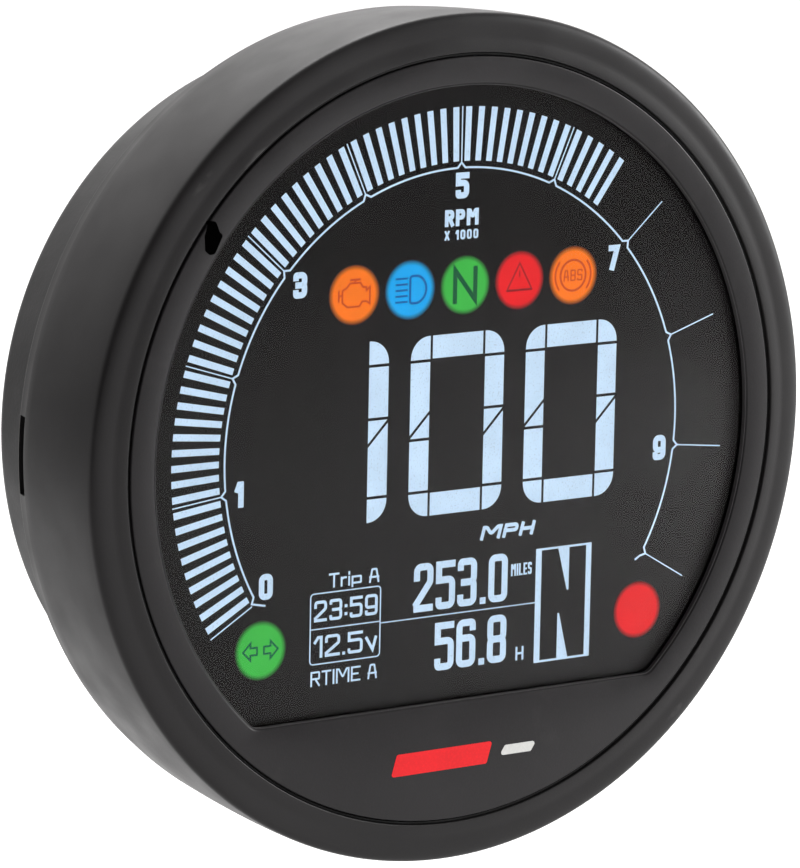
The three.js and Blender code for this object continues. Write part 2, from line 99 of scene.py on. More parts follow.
SEAM_R = GASKET.right + 0.05
SKIRT_BACK_R = 56.0
SKIRT_WALL = 2.1
LIP_DEPTH = 2.6
LIP_ROUND = 0.15
PRINT = 0.03  # how far the mark and the sensor's window stand out of the plate
WINDOW_R = 47.6
WINDOW_CHORD = -35.2  # height of the window's flat lower edge
CASE_BACK = 37.4
CASE_R = 49.8
CASE_INSIDE = 30  # a depth well inside the case, where the cutters for its holes start
FLANGE_BACK = 20.4
FLANGE_BORE_R = 50.7
CASE_WALL = 2.2
PAD_SIZE = (46, 26)
BUTTON_R = 5.0
DIAL_UNIT = SEAM_R  # the printed dial is laid out in shares of the seam's radius
ROUND = 256  # sides of the large circles
INK_FRONT = LENS.back + 0.04  # the lit segments lie between the lens and the glass
INK_BACK = GLASS.front - 0.01
INK_PLACE = Vector((0.34, 0, -0.37)) * MM  # the display's middle lies a little low and to the right


def dial(share):
    return share * DIAL_UNIT


def at(x, depth, z):
    return Vector((x * MM, FRONT_Y + depth * MM, z * MM))


def level(outline, depth):
    """An outline's points (x, z), all at one depth."""
    return [at(x, depth, z) for x, z in outline]


# ---- mesh tools ----


def loft(skin, loops, wrap=False):
    """Joins loops of equal length into a closed skin. wrap joins the last to the first, without end caps."""
    rows = [[skin.verts.new(point) for point in loop] for loop in loops]
    following = rows[1:] + (rows[:1] if wrap else [])
    for low, high in zip(rows, following):
        for i in range(len(low)):
            j = (i + 1) % len(low)
            skin.faces.new((low[i], low[j], high[j], high[i]))
    if not wrap:
        skin.faces.new(rows[0])
        skin.faces.new(rows[-1])
    return skin


def arc(centre, radius, start, end, steps=8):
    """Points on an arc, with its angles in degrees."""
    angles = [radians(start + (end - start) * i / steps) for i in range(steps + 1)]
    return [(centre[0] + radius * cos(a), centre[1] + radius * sin(a)) for a in angles]


def rounded(points, radius=0.0, closed=True, steps=5):
    """Rounds an outline's corners. A third number in a point is that corner's own radius."""
    flat = [Vector(p[:2]) for p in points]
    result = []
    for i, corner in enumerate(flat):
        size = points[i][2] if len(points[i]) > 2 else radius
        if size <= 0 or (not closed and i in (0, len(flat) - 1)):
            result.append(tuple(corner))
            continue
        back, ahead = flat[i - 1] - corner, flat[(i + 1) % len(flat)] - corner
        reach = min(back.length, ahead.length) * 0.49
        back.normalize()
        ahead.normalize()
        half = back.angle(ahead) / 2
        size = min(size, reach * math.tan(half))
        if half > radians(88) or size < 1e-4:
            result.append(tuple(corner))
            continue
        centre = corner + (back + ahead).normalized() * (size / sin(half))
        first = corner + back * (size / math.tan(half)) - centre
        last = corner + ahead * (size / math.tan(half)) - centre
        begin = math.atan2(first.y, first.x)
        turn = (math.atan2(last.y, last.x) - begin + math.pi) % math.tau - math.pi
        for k in range(steps + 1):
            a = begin + turn * k / steps
            result.append((centre.x + size * cos(a), centre.y + size * sin(a)))
    return result


def turned(skin, outline, x=0.0, z=0.0, sides=ROUND, ripple=None):
    """Turns (radius, depth) points round an axis through (x, z). ripple(angle, index) adds to a radius."""
    loops = []
    for index, (radius, depth) in enumerate(outline):
        loop = []
        for i in range(sides):
            a = math.tau * i / sides
            r = max(radius, 1e-5) + (ripple(a, index) if ripple else 0)
            loop.append(at(x + r * cos(a), depth, z + r * sin(a)))
        loops.append(loop)
    return loft(skin, loops, wrap=outline[0][0] > 0)


def prism(skin, outline, front=INK_FRONT, back=INK_BACK):
    return loft(skin, [level(outline, depth) for depth in (front, back)])


def soft_slab(skin, outline_at, front, back, front_edge=0.0, back_edge=0.0, steps=4):
    """A slab with rounded edges. outline_at(inset) gives its outline, drawn in by inset."""
    layers = []
    if front_edge:
        for k in range(steps):
            a = math.pi / 2 * k / steps
            layers.append((front_edge * (1 - sin(a)), front + front_edge * (1 - cos(a))))
    layers.append((0, front + front_edge))
    layers.append((0, back - back_edge))
    if back_edge:
        for k in range(1, steps + 1):
            a = math.pi / 2 * k / steps
            layers.append((back_edge * (1 - cos(a)), back - back_edge * (1 - sin(a))))
    return loft(skin, [level(outline_at(inset), depth) for inset, depth in layers])


def box_outline(width, height, radius, x=0.0, z=0.0):
    """outline_at for a rectangle with rounded corners."""

    def outline(inset):
        a, b, r = width / 2 - inset, height / 2 - inset, max(radius - inset, 0.05)
        corners = [(x + a, z + b), (x - a, z + b), (x - a, z - b), (x + a, z - b)]
        return rounded(corners, r, steps=8)

    return outline


def cut_circle(radius, chord, blend=0.25):
    """outline_at for a circle cut off flat at z = chord, with slightly rounded corners."""

    def outline(inset):
        points = []
        for i in range(2 * ROUND):
            a = math.tau * i / (2 * ROUND)
            reach = radius - inset
            if sin(a) < -0.2:
                line = (chord + inset) / sin(a)
                gap = (reach - line) / blend
                reach = min(reach, line) - blend * math.log1p(math.exp(-abs(gap)))
            points.append((reach * cos(a), reach * sin(a)))
        return points

    return outline


def stroke(skin, points, width, front=INK_FRONT, back=INK_BACK, closed=False):
    """A flat line of constant width along points (x, z), with square ends and mitred corners."""
    path = [Vector(p) for p in points]
    if not closed:
        path[0] = path[0] + (path[0] - path[1]).normalized() * width / 2
        path[-1] = path[-1] + (path[-1] - path[-2]).normalized() * width / 2
    count = len(path)
    loops = []
    for i, point in enumerate(path):
        into = (point - path[i - 1]).normalized() if closed or i > 0 else None
        out = (path[(i + 1) % count] - point).normalized() if closed or i < count - 1 else into
        into = into or out
        mean = (into + out).normalized()
        normal = Vector((-mean.y, mean.x))
        side = normal * (width / 2 / max(0.35, normal.dot(Vector((-into.y, into.x)))))
        a, b = point + side, point - side
        loops.append([at(a.x, front, a.y), at(b.x, front, b.y), at(b.x, back, b.y), at(a.x, back, a.y)])
    loft(skin, loops, wrap=closed)


def placed(name, data):
    made = bpy.data.objects.new(name, data)
    SCENE.collection.objects.link(made)
    return made


def carve(target, skin, operation="DIFFERENCE"):
    """Cuts a skin out of an object's mesh, or joins them with UNION, for good."""
    tool = placed("tool", mesh_of("tool", skin))
    modifier = target.modifiers.new("carve", "BOOLEAN")
    modifier.operation, modifier.solver, modifier.object = operation, "EXACT", tool
    settle(target)
    bpy.data.objects.remove(tool)


def settle(target):
    """Applies an object's modifiers."""
    graph = bpy.context.evaluated_depsgraph_get()
    mesh = bpy.data.meshes.new_from_object(target.evaluated_get(graph), depsgraph=graph)
    target.modifiers.clear()
    target.data = mesh


def mesh_of(name, skin):
    bmesh.ops.remove_doubles(skin, verts=skin.verts, dist=2e-7)
    bmesh.ops.recalc_face_normals(skin, faces=skin.faces)
    mesh = bpy.data.meshes.new(name)
    skin.to_mesh(mesh)
    skin.free()
    return mesh


def shade(target, crease=35):
    for face in target.data.polygons:
        face.use_smooth = True
    target.data.set_sharp_from_angle(angle=radians(crease))


def piece(name, skin, material, slot, *nodes, body=HOUSING, crease=35, place=None):
    """Makes a piece from a skin, puts it on its body, and hides the CAD nodes that it stands for."""
    made = placed(name, mesh_of(name, skin))
    if place:
        made.location = place
    made.data.materials.append(material)
    shade(made, crease)
    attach(made, body)
    if nodes:
        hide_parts(*nodes)
    return made


# ---- materials ----


def shader(name, **values):
    """A new material and its Principled shader, with plain values set on the shader's own sockets."""
    material = bpy.data.materials.new(name)
    material.use_nodes = True
    principled = material.node_tree.nodes["Principled BSDF"]
    for key, value in values.items():
        principled.inputs[key.replace("_", " ")].default_value = value
    return material, principled


def node(material, kind, **values):
    made = material.node_tree.nodes.new(kind)
    for key, value in values.items():
        if key in made.inputs:
            made.inputs[key].default_value = value
        else:
            setattr(made, key, value)
    return made


def join(material, source, target):
    material.node_tree.links.new(source, target)


def noise(material, scale, detail=3.0):
    place = node(material, "ShaderNodeTexCoord")
    made = node(material, "ShaderNodeTexNoise", Scale=scale, Detail=detail)
    join(material, place.outputs["Object"], made.inputs["Vector"])
    return made.outputs["Fac"]


def ramp(material, factor, low, high, start=0.0, end=1.0):
    """Turns a factor between start and end into a number between low and high."""
    made = node(material, "ShaderNodeMapRange")
    join(material, factor, made.inputs["Value"])
    for key, value in zip(("From Min", "From Max", "To Min", "To Max"), (start, end, low, high)):
        made.inputs[key].default_value = value
    return made.outputs["Result"]


def mix(material, factor, first, second):
    """Mixes two colours, each a plain colour or an output."""
    made = node(material, "ShaderNodeMix", data_type="RGBA")
    join(material, factor, made.inputs["Factor"])
    for key, value in (("A", first), ("B", second)):
        socket = next(s for s in made.inputs if s.name == key and s.type == "RGBA")
        if isinstance(value, bpy.types.NodeSocket):
            join(material, value, socket)
        else:
            socket.default_value = (*value, 1)
    return next(s for s in made.outputs if s.type == "RGBA")


def tint(colour, share):
    return tuple(channel * share for channel in colour)


def surface(
    name, colour, roughness, metal=0.0, patch=60.0, variation=0.18, grain=5200.0, bump=0.25, grain_depth=0.03,
    wear=0.35, wear_colour=(0.16, 0.155, 0.15), scuffed=False, shine=0.5,
):
    """A worked surface: patchy colour and roughness, fine grain, and worn edges or faint scuffs all over."""
    material, principled = shader(name, Metallic=metal, Specular_IOR_Level=shine)
    patches = noise(material, patch)
    fine = noise(material, grain, 2.0)
    cloudy = mix(
        material,
        ramp(material, patches, 0, 1, 0.3, 0.7),
        tint(colour, 1 - variation),
        tint(colour, 1 + variation),
    )
    bright = tint(colour, 1 + 2 * variation)
    speckled = mix(material, ramp(material, fine, 0, 0.5, 0.45, 0.75), cloudy, bright)
    if scuffed:
        rubbed = ramp(material, noise(material, patch * 1.7, 8.0), 0, wear * 0.35, 0.56, 0.72)
    else:
        edges = node(material, "ShaderNodeNewGeometry").outputs["Pointiness"]
        rubbed = ramp(material, edges, 0, wear, 0.53, 0.62)
    broken = node(material, "ShaderNodeMath", operation="MULTIPLY")
    join(material, rubbed, broken.inputs[0])
    join(material, ramp(material, noise(material, patch * 9), 0, 1, 0.4, 0.65), broken.inputs[1])
    join(material, mix(material, broken.outputs[0], speckled, wear_colour), principled.inputs["Base Color"])
    uneven = ramp(material, noise(material, patch * 2.3), roughness * 0.86, roughness * 1.16, 0.3, 0.7)
    join(material, uneven, principled.inputs["Roughness"])
    relief = node(material, "ShaderNodeBump", Strength=bump, Distance=grain_depth * MM)
    join(material, fine, relief.inputs["Height"])
    join(material, relief.outputs["Normal"], principled.inputs["Normal"])
    return material


def lit(name, colour, speck=0.4, fade=None):
    """A lit print with fine dark specks. It dies away round its own origin between the two radii of fade."""
    material, principled = shader(name, Emission_Strength=1.0, Specular_IOR_Level=0.12)
    fine = noise(material, 4200.0, 1.0)
    cloudy = mix(
        material,
        ramp(material, noise(material, 220.0), 0, 1, 0.3, 0.7),
        tint(colour, 0.93),
        tint(colour, 1.04),
    )
    bright = mix(material, ramp(material, fine, 0, speck, 0.58, 0.72), cloudy, tint(colour, 0.4))
    if fade:
        place = node(material, "ShaderNodeTexCoord")
        distance = node(material, "ShaderNodeVectorMath", operation="LENGTH")
        join(material, place.outputs["Object"], distance.inputs[0])
        dark = ramp(material, distance.outputs["Value"], 0, 1, fade[0] * MM, fade[1] * MM)
        bright = mix(material, dark, bright, DISPLAY_BLACK)
    join(material, bright, principled.inputs["Emission Color"])
    unlit = mix(material, fine, tint(colour, 0.05), tint(colour, 0.1))
    join(material, unlit, principled.inputs["Base Color"])
    uneven = ramp(material, noise(material, 900.0), 0.3, 0.42, 0.3, 0.7)
    join(material, uneven, principled.inputs["Roughness"])
    return material


DISPLAY_BLACK = (0.0035, 0.003, 0.0032)
PALE_BLUE = (0.58, 0.76, 0.95)
ORANGE = (0.93, 0.19, 0.004)
BLUE = (0.0, 0.38, 0.84)
GREEN = (0.04, 0.46, 0.055)
RED = (0.83, 0.005, 0.010)

ANODISED = surface(
    "black anodised aluminium", (0.0125, 0.0115, 0.012), 0.42, patch=45, bump=0.3, wear=0.15, shine=0.2,
)
PLATE_BLACK = surface(
    "dark satin plate", (0.0105, 0.0092, 0.0102), 0.36, grain=4200, bump=0.35, wear=0.12, scuffed=True,
    shine=0.24,
)
# Painted light: a grey much lighter than the plate's own black, so the window's inner wall reads as lit.
WINDOW_EDGE_PAINTED_LIGHT = surface("window edge lightened as painted light", (0.038, 0.036, 0.037), 0.5, bump=0.2, wear=0, shine=0.2)
GLOSS_BLACK = surface("black sensor window", (0.0005, 0.0005, 0.0005), 0.5, bump=0.02, wear=0, shine=0)
RUBBER = surface("black rubber", (0.006, 0.006, 0.006), 0.72, grain=3000, bump=0.5, wear=0.1, shine=0.2)
CASE_BLACK = surface(
    "textured black plastic", (0.013, 0.0125, 0.013), 0.46, grain=2600, bump=0.6, wear=0.2, scuffed=True,
    shine=0.35,
)
SOCKET_BLACK = surface(
    "socket plastic", (0.017, 0.017, 0.018), 0.42, grain=5000, bump=0.3, wear=0.2, scuffed=True,
)
VENT_GREY = surface("vent plastic", (0.045, 0.045, 0.047), 0.5, grain=3000, bump=0.4, wear=0.2, scuffed=True)
STEEL = surface(
    "zinc plated steel", (0.36, 0.36, 0.375), 0.32, metal=1, grain=7000, variation=0.1,
    wear_colour=(0.6, 0.6, 0.61),
)
BRASS = surface(
    "brass", (0.42, 0.29, 0.12), 0.35, metal=1, grain=6000, variation=0.12, wear_colour=(0.62, 0.46, 0.22),
)
TIN = surface("tinned contacts", (0.5, 0.5, 0.51), 0.32, metal=1, grain=7000, variation=0.08)
BUTTON_RUBBER = surface("button rubber", (0.016, 0.016, 0.017), 0.62, grain=3600, bump=0.4, wear=0.15)
DISPLAY_GLASS = surface(
    "dark display glass", (0.013, 0.0115, 0.012), 0.16, patch=30, variation=0.06, grain=2500, bump=0.004,
    wear=0, shine=0.05,
)
WHITE_PLASTIC = surface(
    "white plastic", (0.78, 0.77, 0.73), 0.5, variation=0.04, wear_colour=(0.9, 0.9, 0.88),
)
SILICONE = surface("grey silicone", (0.27, 0.275, 0.285), 0.75, grain=3000, wear=0)
BOARD_GREEN = surface(
    "solder resist", (0.012, 0.075, 0.028), 0.35, patch=300, grain=4000, wear_colour=(0.1, 0.2, 0.1),
)
CHIP_BLACK = surface("moulded chip", (0.018, 0.018, 0.018), 0.55, grain=6000, bump=0.5)
LED_WHITE = surface("led", (0.8, 0.78, 0.6), 0.35, variation=0.05, wear_colour=(0.9, 0.9, 0.85))
SEGMENTS = lit("lit segments", PALE_BLUE)
MARK_RED = surface("red paint", (0.76, 0.009, 0.014), 0.4, variation=0.08, grain=3000, wear=0, shine=0.2)
MARK_WHITE = surface("pale paint", (0.62, 0.62, 0.60), 0.4, variation=0.06, grain=3000, wear=0)


def clear_lens():
    """Clear lens with an anti-glare coat: nearly colourless, with faint smudges in its gloss."""
    coat = (0.06, 0.06, 0.06, 1)
    material, principled = shader("clear lens", IOR=1.49, Transmission_Weight=1.0, Specular_Tint=coat)
    tone = mix(material, noise(material, 25.0), (0.95, 0.95, 0.96), (0.98, 0.98, 0.98))
    join(material, tone, principled.inputs["Base Color"])
    smudges = ramp(material, noise(material, 40.0, 6.0), 0.02, 0.05, 0.35, 0.7)
    join(material, smudges, principled.inputs["Roughness"])
    relief = node(material, "ShaderNodeBump", Strength=0.02, Distance=0.01 * MM)
    join(material, noise(material, 60.0), relief.inputs["Height"])
    join(material, relief.outputs["Normal"], principled.inputs["Normal"])
    return material


CLEAR = clear_lens()


# ---- front: bezel, gasket, plate, lens ----


def skirt_outline():
    """The bezel's outside: a domed front, a rolled edge, a barrelled skirt and a rounded rear edge."""
    dome, roll, depth_of_roll, exponent = 0.22, 3.2, 1.5, 3.5
    inner, start = SEAM_R + LIP_ROUND, BEZEL.right - roll
    outside = [(inner + (start - inner) * k / 4, dome * (k / 4) ** 1.5) for k in range(4)]
    for k in range(15):
        t = sin(math.pi / 2 * k / 14)
        drop = 1 - (1 - t**exponent) ** (1 / exponent)
        outside.append((start + roll * t, dome + (depth_of_roll - dome) * drop))
    band, step, edge, barrel = 2.4, 0.2, 0.5, 1.7
    rear = BEZEL.back - band
    for k in range(1, 13):
        t = k / 12
        shrink = (BEZEL.right - SKIRT_BACK_R) * t**barrel
        outside.append((BEZEL.right - shrink, depth_of_roll + (rear - depth_of_roll) * t))
    outside.append((SKIRT_BACK_R - 0.05, rear + step))
    return outside + arc((SKIRT_BACK_R - 2 * step - edge, BEZEL.back - edge), edge, 0, 90, 6)


def make_bezel():
    """The bezel ring, with a blind pry slot on each side near its rear edge."""
    inside = SKIRT_BACK_R - SKIRT_WALL
    hollow = [(inside, BEZEL.back - 1), (BEZEL.right - SKIRT_WALL, LIP_DEPTH, 1), (SEAM_R, LIP_DEPTH)]
    outline = [
        *arc((SEAM_R + LIP_ROUND, LIP_ROUND), LIP_ROUND, 180, 255, 4),
        *skirt_outline(),
        (inside + 0.2, BEZEL.back),
        (inside, BEZEL.back - 0.3),
        *rounded(hollow, closed=False),
    ]
    bezel = piece("bezel", turned(bmesh.new(), outline), ANODISED, "bezel", "bezel_ring")
    slots = bmesh.new()
    length, reach, middle = 10.4, 6, SKIRT_BACK_R + 1.4
    for x in (-middle, middle):
        soft_slab(slots, box_outline(reach, length, 0.6, x), BEZEL.back - 2.2, BEZEL.back - 0.4, 0.2, 0.1)
    carve(bezel, slots)
    shade(bezel)


def make_gasket():
    inner, lip = PLATE.right + 0.1, 0.42
    shelf_r, shelf = 49, LENS.back + 0.05
    outline = [
        (inner, lip, 0.12), (GASKET.right, lip, 0.12), (GASKET.right, GASKET.back, 0.1),
        (shelf_r, GASKET.back, 0.2), (shelf_r, shelf, 0.2), (inner, shelf),
    ]
    piece("gasket", turned(bmesh.new(), rounded(outline)), RUBBER, "rubber", "lens_gasket")


def make_plate():
    """The dark plate, with a rolled rim and a fine chamfer along its window, and a thin liner on the window's
    inner wall, coloured lighter than the plate as painted light.
    """
    rim, window = cut_circle(PLATE.right, -PLATE.right - 5), cut_circle(WINDOW_R, WINDOW_CHORD)
    roll, chamfer = 0.2, 0.25
    layers = [(rim, 0, PLATE.back), (rim, 0, PLATE.front + roll)]
    for k in range(1, 5):
        a = math.pi / 2 * k / 4
        layers.append((rim, roll * (1 - cos(a)), PLATE.front + roll * (1 - sin(a))))
    layers += [
        (window, -chamfer - 0.03, PLATE.front),
        (window, -chamfer, PLATE.front + 0.01),
        (window, -0.02, PLATE.front + chamfer),
        (window, 0, PLATE.front + chamfer + 0.04),
        (window, 0, PLATE.back),
    ]
    skin = loft(bmesh.new(), [level(shape(inset), depth) for shape, inset, depth in layers], wrap=True)
    piece("dial_plate", skin, PLATE_BLACK, "face_plate", "face_plate")

    # A thin liner on the window's wall, in a lighter grey than the plate: painted light on that wall.
    front, back, thick, bevel = PLATE.front + 0.12, PLATE.back - 0.02, 0.1, 0.04
    sides = [(-0.02, front), (thick - bevel, front), (thick, front + bevel), (thick, back), (-0.02, back)]
    skin = loft(bmesh.new(), [level(window(inset), depth) for inset, depth in sides], wrap=True)
    piece("window_edge", skin, WINDOW_EDGE_PAINTED_LIGHT, "face_plate")


def make_sensor_window():
    """The flared black window of the light sensor, between the dial's window and the seam."""
    spread = [(0.994, 141.0), (0.975, 140.5), (0.95, 141.3), (0.937, 141.3), (0.928, 144.4), (0.94, 145.0),
              (0.957, 144.9), (0.98, 143.2)]
    corners = [(dial(share) * cos(radians(a)), dial(share) * sin(radians(a))) for share, a in spread]
    skin = prism(bmesh.new(), rounded(corners, 0.5), PLATE.front - PRINT, PLATE.back - 0.05)
    piece("sensor_cover", skin, GLOSS_BLACK, "sensor_window", "sensor_window")


def make_mark():
    """A plain mark on the crescent: a slanted red bar with a short pale bar after it."""
    slant, height = 0.9, 3.0
    x0, z0 = dial(-0.2), dial(-0.857)
    for name, material, slot, x, width, tall in (
        ("mark_red", MARK_RED, "lamp_red", x0, 15.5, height),
        ("mark_white", MARK_WHITE, "diffuser", x0 + 17.6, 5.2, height * 0.45),
    ):
        z = z0 + (height - tall) / 2
        corners = [(x, z), (x + width, z), (x + width + slant, z + tall), (x + slant, z + tall)]
        skin = prism(bmesh.new(), rounded(corners, 0.35), PLATE.front - PRINT, PLATE.back - 0.05)
        piece(name, skin, material, slot)


def make_lens():
    edge, inner = 0.15, LENS.right - 1
    front, back = LENS.front, LENS.back
    rim = [(inner, front), (LENS.right, front, edge), (LENS.right, back, edge), (inner, back)]
    outline = [(0, front), *rounded(rim, closed=False), (0, back)]
    piece("clear_lens", turned(bmesh.new(), outline), CLEAR, "lens", "lens")


# ---- display ----


def make_glass():
    for name, node_name, span in (
        ("display_glass_front", "lcd_front_glass", GLASS),
        ("display_glass_rear", "lcd_rear_glass", REAR_GLASS),
    ):
        sheet = cut_circle(span.right, span.bottom, 0.1)
        skin = soft_slab(bmesh.new(), sheet, span.front, span.back, 0.08, 0.08, 2)
        piece(name, skin, DISPLAY_GLASS, "display_glass", node_name)


# Letters as lines on a grid 4 wide (M has 6) and 8 high. Each pair is a point. ! keeps its corner sharp,
# | starts a new line and * closes it.
GLYPHS = {
    "0": "00 40 48 08*",
    "1": "06 18! 28! 20",
    "2": "06 08 48 45 01|00 40",
    "3": "07 08 48 44 14|24 44 40 00 01",
    "5": "48 08! 05! 45 40 00 01",
    "6": "47 48 08 00 40 45 05",
    "7": "08 48! 10",
    "8": "04 44 40 00*|04 44 48 08*",
    "9": "01 00 40 48 08 03 43",
    "A": "00 18 38 40|03 43",
    "B": "04 00! 40 44*|04 44 48 08!*",
    "E": "48 08! 00! 40|04 34",
    "H": "00 08|40 48|04 44",
    "I": "00 08",
    "L": "08 00! 40",
    "M": "00 08! 18 33 58 68! 60",
    "N": "00 08! 40! 48",
    "P": "00 08! 48 44 04",
    "R": "00 08! 48 44 04|24 40",
    "S": "47 48 08 04 44 40 00 01",
    "T": "08 48|28 20",
    "X": "00 48|08 40",
    "i": "00 05|07 08",
    "p": "00 06! 46 42 02",
    "r": "00 05!|04 15 25",
    "v": "05 20! 35",
}
WIDTHS = {"1": 2, "I": 0, "M": 6, "i": 0, "r": 2, "v": 3, ".": 0, ":": 0, " ": 1.2}  # where they aren't 4
DESCENDER = 1.2  # grid steps that a p hangs below the line


def write(skin, text, x0, x1, z0, z1, weight, gap=None, radius=None, slant=0.0, **depths):
    """Writes text so that it fills the box from (x0, z0) to (x1, z1), with lines of one weight."""
    gap = weight * 0.7 if gap is None else gap
    widths = [WIDTHS.get(letter, 4) for letter in text]
    unit = (x1 - x0 - len(text) * weight - (len(text) - 1) * gap) / max(sum(widths), 1)
    step = (z1 - z0 - weight) / 8
    left = x0 + weight / 2
    low = z0 + weight / 2
    for letter, width in zip(text, widths):
        if letter in ".:":
            for z in [low] if letter == "." else [low + 1.5 * step, low + 5 * step]:
                stroke(skin, [(left - 0.01, z), (left + 0.01, z)], weight, **depths)
        elif letter != " ":
            drop = DESCENDER * step if letter == "p" else 0
            for line in GLYPHS[letter].split("|"):
                closed = line.endswith("*")
                corner = weight * 0.55 if radius is None else radius
                points = []
                for pair in line.strip("*").split():
                    x, z = left + int(pair[0]) * unit, low + int(pair[1]) * step - drop
                    points.append((x + (z - z0) * slant, z, 0 if pair.endswith("!") else corner))
                stroke(skin, rounded(points, corner, closed), weight, closed=closed, **depths)
        left += width * unit + weight + gap


def ink(name, skin):
    """Makes a piece of the lit display, in the display's place."""
    piece(name, skin, SEGMENTS, "display_segments", place=INK_PLACE)


def block(skin, x0, z0, x1, z1):
    prism(skin, [(x0, z0), (x1, z0), (x1, z1), (x0, z1)])


DIGIT_TOP, DIGIT_HEIGHT, DIGIT_WIDTH = dial(0.2853), 24.2, 15.0
BAR, CELL, DIGIT_ARC, SLIT = 3.07, 3.1, 2.94, 0.4


def corner_cell(skin, x, z, right, down):
    """A rounded corner of a speed digit. (x, z) is its outer corner, right and down are its directions."""
    outline = [(BAR, CELL), (0, CELL), *arc((DIGIT_ARC, DIGIT_ARC), DIGIT_ARC, 180, 270), (BAR, 0)]
    prism(skin, [(x + u * right, z - v * down) for u, v in outline])


def digit_column(skin, left, right_hand):
    """One column of a speed digit, cut in its middle by a level and a slanted slit."""
    right, top, low = left + BAR, CELL + SLIT, DIGIT_HEIGHT - CELL - SLIT
    half, slanted = SLIT / 2, SLIT * 0.7
    outer, inward = (right, -1) if right_hand else (left, 1)
    corner_cell(skin, outer, DIGIT_TOP, inward, 1)
    corner_cell(skin, outer, DIGIT_TOP - DIGIT_HEIGHT, inward, -1)
    if right_hand:
        cut, start, end = 10.4, 13.9, 10.8
        shapes = [
            [(left, top), (right, top), (right, cut - half), (left, cut - half)],
            [(left, cut + half), (right - 0.1, cut + half), (left, start - slanted)],
            [(left, start + slanted), (right, end + slanted), (right, low), (left, low)],
        ]
    else:
        cut, start, end = 13.8, 13.4, 10.3
        shapes = [
            [(left, top), (right, top), (right, end - slanted), (left, start - slanted)],
            [(right, end + slanted), (right, cut - half), (left + 0.1, cut - half)],
            [(left, cut + half), (right, cut + half), (right, low), (left, low)],
        ]
    for shape in shapes:
        prism(skin, [(u, DIGIT_TOP - v) for u, v in shape])


def make_speed():
    """The speed, 100: two full digits and the right-hand column of the first."""
    skin = bmesh.new()
    for left in (dial(-0.148), dial(0.2107)):
        digit_column(skin, left, False)
        digit_column(skin, left + DIGIT_WIDTH - BAR, True)
        for z in (DIGIT_TOP, DIGIT_TOP - DIGIT_HEIGHT + BAR):
            block(skin, left + BAR + SLIT, z, left + DIGIT_WIDTH - BAR - SLIT, z - BAR)
    digit_column(skin, dial(-0.2753), True)
    ink("segments_speed", skin)


TACH_CENTRE = (-0.15, 0.45)  # the tachometer's centre, measured from the display's
TACH_ZERO = 210.6  # degrees, where the scale reads 0
TACH_STEP = 24.1  # degrees for each 1000 turns a minute
TACH_INNER, TACH_OUTER = dial(0.719), dial(0.8576)
BARS_PER_STEP = 9
LIT_BARS = 59


def polar(radius, degrees, offset=0.0):
    """A point on the tachometer, moved sideways by offset."""
    a = radians(degrees)
    x, z = TACH_CENTRE
    return (x + radius * cos(a) - offset * sin(a), z + radius * sin(a) + offset * cos(a))


def make_tachometer():
    bars = bmesh.new()
    for k in range(LIT_BARS):
        a = TACH_ZERO - (k + 0.5) * TACH_STEP / BARS_PER_STEP
        corners = [(TACH_INNER, -0.435), (TACH_OUTER, -0.465), (TACH_OUTER, 0.465), (TACH_INNER, 0.435)]
        prism(bars, [polar(r, a, side) for r, side in corners])
    ink("segments_tach_bars", bars)

    scale = bmesh.new()
    for thousand in range(11):
        a = TACH_ZERO - thousand * TACH_STEP
        offset = 0.0 if thousand else 0.3
        stroke(scale, [polar(TACH_INNER, a, offset), polar(TACH_OUTER, a, offset)], 0.15)
    ring_r = dial(0.702)
    kink, rise = 1.0, 0.68
    points = [polar(ring_r - 0.8, TACH_ZERO + 2.2)]
    for thousand in range(11):
        a = TACH_ZERO - thousand * TACH_STEP
        points += [polar(ring_r, a + kink), polar(ring_r + rise, a), polar(ring_r, a - kink)]
        if thousand < 10:
            points += [polar(ring_r, a - TACH_STEP * k / 12) for k in range(1, 12)]
    points += [polar(ring_r - 0.4, TACH_ZERO - 10 * TACH_STEP - 2.2)]
    stroke(scale, points, 0.25)
    ink("segments_tach_scale", scale)

    numbers = bmesh.new()
    width, height = 2.14, 3.45
    for text, x, z in (
        ("5", 0, 0.665), ("3", -0.488, 0.445), ("7", 0.485, 0.445),
        ("1", -0.66, -0.071), ("0", -0.577, -0.315), ("9", 0.65, -0.072),
    ):
        half = width / 2 * {"1": 0.62, "7": 0.85}.get(text, 1)
        cx, cz = dial(x), dial(z)
        write(numbers, text, cx - half, cx + half, cz - height / 2, cz + height / 2, 0.82, radius=0.5)
    cx = 5.39 / 2
    write(numbers, "RPM", -cx, cx, dial(0.583) - 1.12, dial(0.583) + 1.12, 0.56, 0.3, 0.3)
    write(numbers, "X 1000", -cx, cx, dial(0.539) - 0.64, dial(0.539) + 0.64, 0.27, 0.27, 0.2)
    ink("segments_tach_numbers", numbers)


